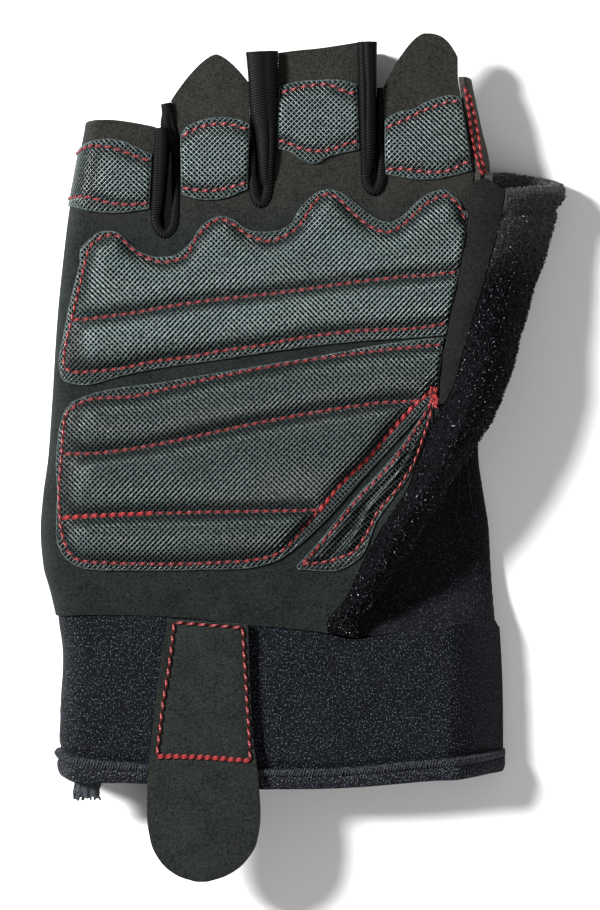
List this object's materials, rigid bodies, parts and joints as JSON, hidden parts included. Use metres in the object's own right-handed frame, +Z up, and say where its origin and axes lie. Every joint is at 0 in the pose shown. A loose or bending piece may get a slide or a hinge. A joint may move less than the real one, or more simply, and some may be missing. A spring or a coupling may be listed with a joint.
{
  "type": "wheelchair glove",
  "caption": "Fingerless suede wheelchair glove for the right hand, palm up, with sewn mesh pads, knit finger walls, terry thumb, neoprene cuff and pull tab.",
  "frame": {"origin": "middle of the glove's outline, on the surface it lies on", "axes": "+Y toward the fingertips, +X toward the thumb, +Z up out of the palm; the back of the hand lies on z = 0"},
  "size_m": [0.1188, 0.1904, 0.0227],
  "materials": {
    "suede": "matte suede",
    "stretch_fabric": "matte stretch weave",
    "terry": "looped terry",
    "rib_knit": "ribbed knit",
    "mesh": "open coated mesh",
    "neoprene": "fabric faced neoprene",
    "thread": "waxed sewing thread"
  },
  "bodies": {
    "root": {"palm_panel": "suede", "back_panel": "stretch_fabric", "fourchette_pinky_ring": "rib_knit", "fourchette_ring_middle": "rib_knit", "fourchette_middle_index": "rib_knit", "index_side_strip": "suede", "thumb_front": "suede", "thumb_sleeve": "terry", "pad_pinky": "mesh", "pad_ring": "mesh", "pad_middle": "mesh", "pad_index": "mesh", "upper_palm_pad": "mesh", "lower_palm_pad": "mesh", "thumb_base_pad": "mesh", "cuff": "neoprene", "cuff_hem": "neoprene", "pull_tab": "suede", "hem_tail": "neoprene"}
  },
  "joints": []
}
